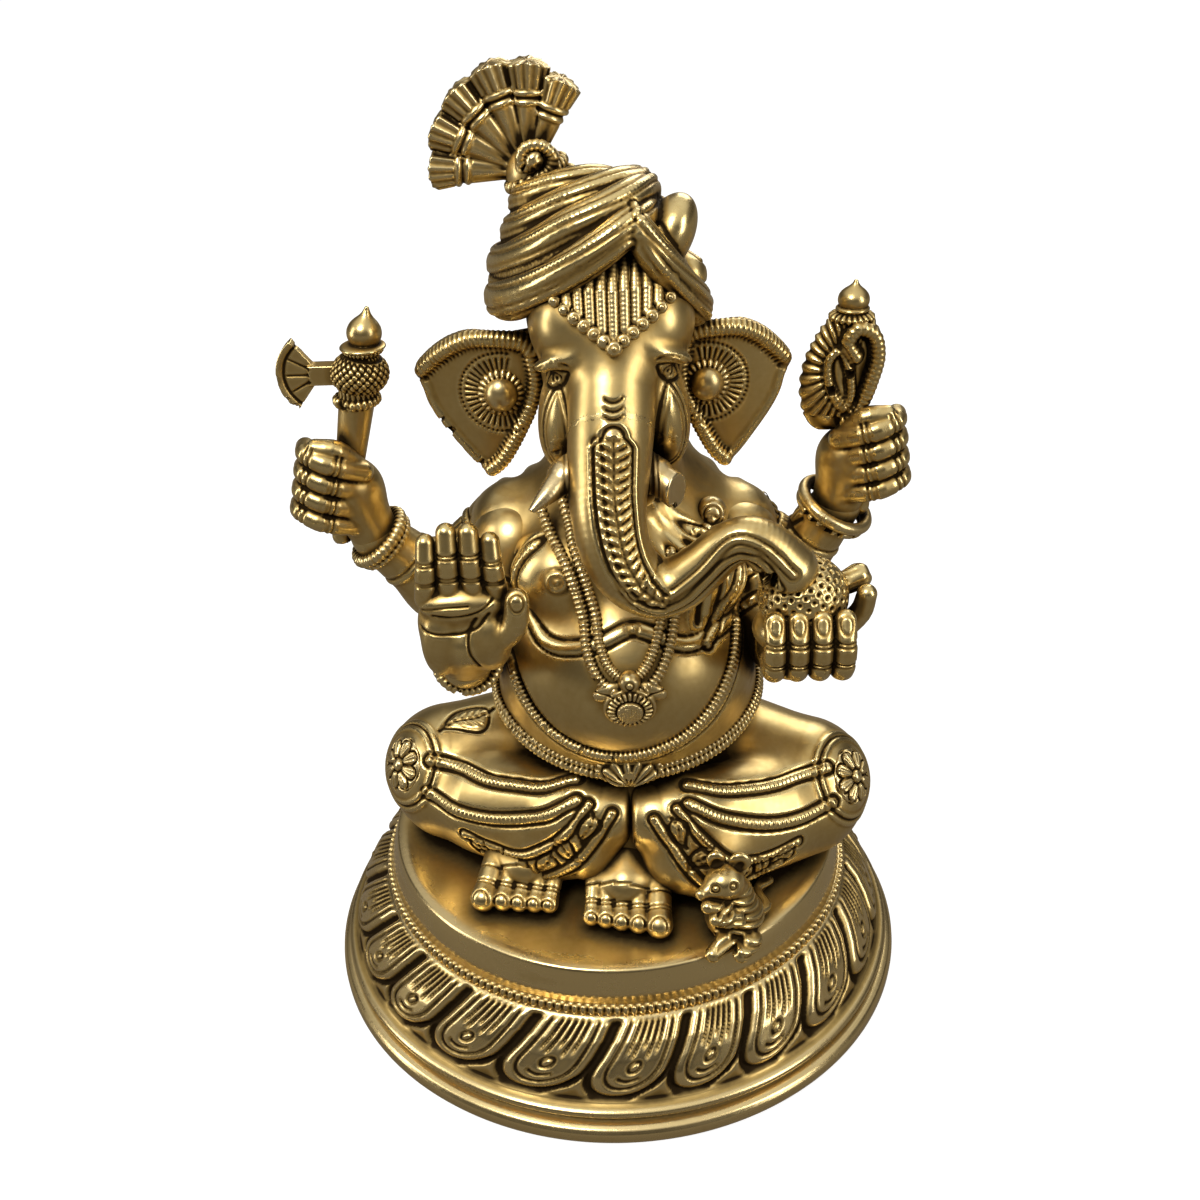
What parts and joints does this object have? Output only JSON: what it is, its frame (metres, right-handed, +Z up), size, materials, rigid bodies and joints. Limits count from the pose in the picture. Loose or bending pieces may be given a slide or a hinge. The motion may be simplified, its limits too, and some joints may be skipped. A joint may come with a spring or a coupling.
{
  "type": "hindu deity statue",
  "caption": "Seated elephant-headed deity in cast brass with turban and plume, holding an axe, noose and sweet, on a round lotus pedestal with a mouse.",
  "frame": {"origin": "centre of the pedestal's footprint, on the underside", "axes": "+Z up through the figure; the figure faces -Y, +X to the viewer's right"},
  "size_m": [0.22, 0.22, 0.3313],
  "materials": {
    "figure_brass": "satin antique brass with dark patina in the recesses",
    "ornament_brass": "satin brass, worn bright on the high points",
    "pedestal_brass": "satin antique brass with dark patina in the grooves",
    "tusk_brass": "polished brass"
  },
  "bodies": {
    "root": {"pedestal": "pedestal_brass", "knurled_ring": "pedestal_brass", "seat_drum": "pedestal_brass", "torso": "figure_brass", "leg_left": "figure_brass", "leg_right": "figure_brass", "foot_left": "figure_brass", "foot_right": "figure_brass", "knee_flower_left": "ornament_brass", "knee_flower_right": "ornament_brass", "belt": "ornament_brass", "belt_buckle": "ornament_brass", "sacred_thread": "ornament_brass", "necklace": "ornament_brass", "pendant": "ornament_brass", "shoulder_boss": "ornament_brass", "arm_palm": "figure_brass", "hand_palm": "figure_brass", "bangle_palm": "ornament_brass", "arm_sweet": "figure_brass", "hand_sweet": "figure_brass", "sweet": "figure_brass", "arm_axe": "figure_brass", "hand_axe": "figure_brass", "bracelet_axe": "ornament_brass", "axe_handle": "figure_brass", "axe_head": "figure_brass", "axe_blade": "figure_brass", "axe_finial": "figure_brass", "arm_noose": "figure_brass", "hand_noose": "figure_brass", "bracelet_noose": "ornament_brass", "noose": "figure_brass", "noose_finial": "figure_brass", "head": "figure_brass", "trunk": "figure_brass", "tusk_full": "tusk_brass", "tusk_broken": "tusk_brass", "ear_left": "figure_brass", "ear_right": "figure_brass", "ear_boss_left": "ornament_brass", "ear_boss_right": "ornament_brass", "forehead_fringe": "ornament_brass", "turban": "figure_brass", "turban_collar": "ornament_brass", "plume": "ornament_brass", "brooch": "ornament_brass", "mouse": "figure_brass"}
  },
  "joints": []
}
